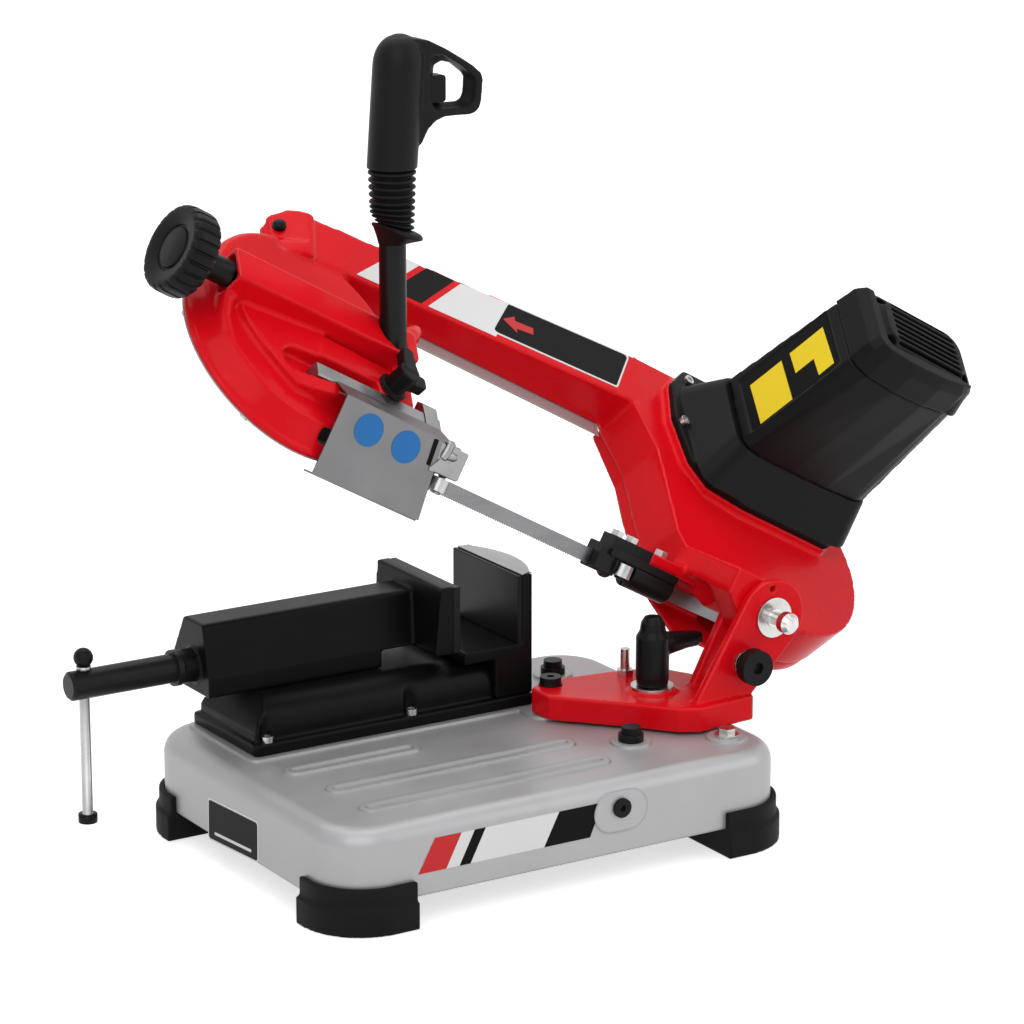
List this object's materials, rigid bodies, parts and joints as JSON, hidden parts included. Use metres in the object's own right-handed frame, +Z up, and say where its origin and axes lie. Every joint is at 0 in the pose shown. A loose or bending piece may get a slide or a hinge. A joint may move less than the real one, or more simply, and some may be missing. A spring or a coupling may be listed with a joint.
{
  "type": "metal cutting band saw",
  "caption": "Portable arm band saw for metal: a mitring arm with a tilted band loop, motor and trigger handle swings down over a screw vise on a pressed base.",
  "frame": {"origin": "on the floor, under the middle of the four feet", "axes": "+X to the operator's right, towards the arm's pivot, +Y away from the operator, +Z up"},
  "size_m": [0.8044, 0.3581, 0.6599],
  "materials": {
    "base_paint": "satin silver paint",
    "foot_rubber": "matte",
    "black_plastic": "satin",
    "zinc": "bright zinc",
    "vise_iron": "black textured paint",
    "machined_steel": "ground",
    "red_paint": "cast, gloss red paint",
    "bracket_paint": "gloss red paint",
    "wheel_alloy": "cast, turned rim",
    "pivot_chrome": "bright",
    "cover_steel": "satin black paint",
    "band_steel": "rolled",
    "guard_steel": "brushed",
    "guide_iron": "black oxide",
    "motor_plastic": "satin, fine moulded texture",
    "handle_plastic": "satin, fine moulded texture",
    "handle_steel": "ground",
    "boot_rubber": "matte, ribbed"
  },
  "bodies": {
    "base": {"base_tray": "base_paint", "corner_feet": "foot_rubber", "side_plug": "black_plastic", "swivel_stops": "zinc", "base_bolts": "zinc", "swivel_bolt": "zinc", "vise_bed": "vise_iron", "fixed_jaw": "vise_iron", "fixed_jaw_plate": "machined_steel", "vise_nut": "vise_iron"},
    "jaw": {"movable_jaw": "vise_iron", "movable_jaw_plate": "machined_steel"},
    "screw": {"vise_screw": "machined_steel"},
    "bar": {"tommy_bar": "machined_steel"},
    "swivel": {"swivel_bracket": "bracket_paint", "bracket_washers": "zinc", "down_stop_stud": "zinc", "pivot_bolt": "pivot_chrome", "plunger_sleeve": "zinc"},
    "lever": {"lock_lever": "black_plastic"},
    "plunger": {"plunger_knob": "black_plastic"},
    "arm": {"arm_frame": "red_paint", "rear_cover": "cover_steel", "drive_rear_cover": "red_paint", "cover_screws": "zinc", "saw_band": "band_steel", "right_guide_holder": "guide_iron", "right_guide_bolts": "zinc", "shaft_bearings": "machined_steel", "gear_plate": "machined_steel", "stator": "machined_steel", "brush_holders": "black_plastic", "gear_cover": "motor_plastic", "motor_housing": "motor_plastic", "motor_end_cap": "motor_plastic", "handle_tube": "handle_steel", "handle_boot": "boot_rubber", "handle_grip": "handle_plastic", "switch_body": "black_plastic", "lift_spring": "handle_steel"},
    "rotor": {"motor_shaft": "machined_steel", "rotor_core": "machined_steel", "cooling_fan": "motor_plastic"},
    "intermediate": {"intermediate_gears": "machined_steel"},
    "drive": {"drive_gear": "machined_steel", "drive_wheel": "wheel_alloy"},
    "tension_slide": {"tension_carriage": "machined_steel", "idler_bearings": "machined_steel"},
    "idler": {"idler_wheel": "wheel_alloy"},
    "tension": {"tension_knob": "black_plastic"},
    "guide": {"guide_bar": "machined_steel", "left_guide_block": "guide_iron", "blade_guard": "guard_steel"},
    "left_front": {"left_front_roller": "machined_steel"},
    "left_back": {"left_back_roller": "machined_steel"},
    "right_front": {"right_front_roller": "machined_steel"},
    "right_back": {"right_back_roller": "machined_steel"},
    "clamp": {"guide_clamp_lever": "black_plastic"},
    "trigger": {"trigger": "black_plastic"}
  },
  "joints": [
    {"name": "jaw_slide", "type": "slide", "parent": "base", "child": "jaw", "axis": [1, 0, 0], "range_m": [-0.056, 0.056]},
    {"name": "screw_turn", "type": "hinge", "parent": "jaw", "child": "screw", "pos_m": [-0.25, 0.1, 0.151], "axis": [1, 0, 0], "range_deg": [-1440, 1440]},
    {"name": "bar_slide", "type": "slide", "parent": "screw", "child": "bar", "axis": [0, 0, 1], "range_m": [0, 0.095]},
    {"name": "swivel", "type": "hinge", "parent": "base", "child": "swivel", "pos_m": [0.094, 0.019, 0.1], "axis": [0, 0, 1], "range_deg": [0, 45]},
    {"name": "lever_turn", "type": "hinge", "parent": "swivel", "child": "lever", "pos_m": [0.158, -0.038, 0.12], "axis": [0, 0, 1], "range_deg": [-70, 0]},
    {"name": "plunger_pull", "type": "slide", "parent": "swivel", "child": "plunger", "axis": [0, -1, 0], "range_m": [0, 0.006], "stiffness_N_per_m": 900, "springref_m": -0.002},
    {"name": "arm_swing", "type": "hinge", "parent": "swivel", "child": "arm", "pos_m": [0.243, -0.065, 0.169], "axis": [0, -1, 0], "range_deg": [0, 30.5], "stiffness_Nm_per_rad": 16, "springref_deg": -25.78},
    {"name": "rotor_spin", "type": "hinge", "parent": "arm", "child": "rotor", "pos_m": [0.39952, 0.03583, 0.29771], "axis": [0.3731, -0.6428, 0.669], "continuous": true},
    {"name": "intermediate_spin", "type": "hinge", "parent": "arm", "child": "intermediate", "pos_m": [0.32776, 0.08467, 0.23518], "axis": [0.3731, -0.6428, 0.669], "continuous": true},
    {"name": "drive_spin", "type": "hinge", "parent": "arm", "child": "drive", "pos_m": [0.32672, 0.06424, 0.17129], "axis": [0.3731, -0.6428, 0.669], "continuous": true},
    {"name": "tension_slide", "type": "slide", "parent": "arm", "child": "tension_slide", "axis": [0.8733, 0, -0.4871], "range_m": [0, 0.0025]},
    {"name": "idler_spin", "type": "hinge", "parent": "tension_slide", "child": "idler", "pos_m": [-0.11432, 0.06424, 0.41727], "axis": [0.3731, -0.6428, 0.669], "continuous": true},
    {"name": "tension_turn", "type": "hinge", "parent": "arm", "child": "tension", "pos_m": [-0.18902, 0.04624, 0.4835], "axis": [-0.8733, 0, 0.4871], "range_deg": [0, 720]},
    {"name": "guide_slide", "type": "slide", "parent": "arm", "child": "guide", "axis": [0.8733, 0, -0.4871], "range_m": [0, 0.085]},
    {"name": "left_front_spin", "type": "hinge", "parent": "guide", "child": "left_front", "pos_m": [-0.03417, -0.01568, 0.30641], "axis": [0.4871, 0, 0.8733], "continuous": true},
    {"name": "left_back_spin", "type": "hinge", "parent": "guide", "child": "left_back", "pos_m": [-0.03417, 0.00168, 0.30641], "axis": [0.4871, 0, 0.8733], "continuous": true},
    {"name": "right_front_spin", "type": "hinge", "parent": "arm", "child": "right_front", "pos_m": [0.14312, -0.01568, 0.20753], "axis": [0.4871, 0, 0.8733], "continuous": true},
    {"name": "right_back_spin", "type": "hinge", "parent": "arm", "child": "right_back", "pos_m": [0.14312, 0.00168, 0.20753], "axis": [0.4871, 0, 0.8733], "continuous": true},
    {"name": "clamp_turn", "type": "hinge", "parent": "arm", "child": "clamp", "pos_m": [-0.05801, 0.01432, 0.38274], "axis": [0.3731, -0.6428, 0.669], "range_deg": [-70, 0]},
    {"name": "trigger_press", "type": "slide", "parent": "arm", "child": "trigger", "axis": [-1, 0, 0], "range_m": [0, 0.005], "stiffness_N_per_m": 900, "springref_m": -0.002}
  ],
  "couplings": [
    {"joint": "jaw_slide", "follows": "screw_turn", "m_per_rad": 0.0022282},
    {"joint": "intermediate_spin", "follows": "rotor_spin", "ratio": -0.15152},
    {"joint": "drive_spin", "follows": "rotor_spin", "ratio": 0.021645},
    {"joint": "idler_spin", "follows": "rotor_spin", "ratio": 0.021645},
    {"joint": "left_front_spin", "follows": "rotor_spin", "ratio": 0.25162},
    {"joint": "left_back_spin", "follows": "rotor_spin", "ratio": -0.25162},
    {"joint": "right_front_spin", "follows": "rotor_spin", "ratio": 0.25162},
    {"joint": "right_back_spin", "follows": "rotor_spin", "ratio": -0.25162},
    {"joint": "tension_turn", "follows": "tension_slide", "rad_per_m": 5026.5}
  ]
}
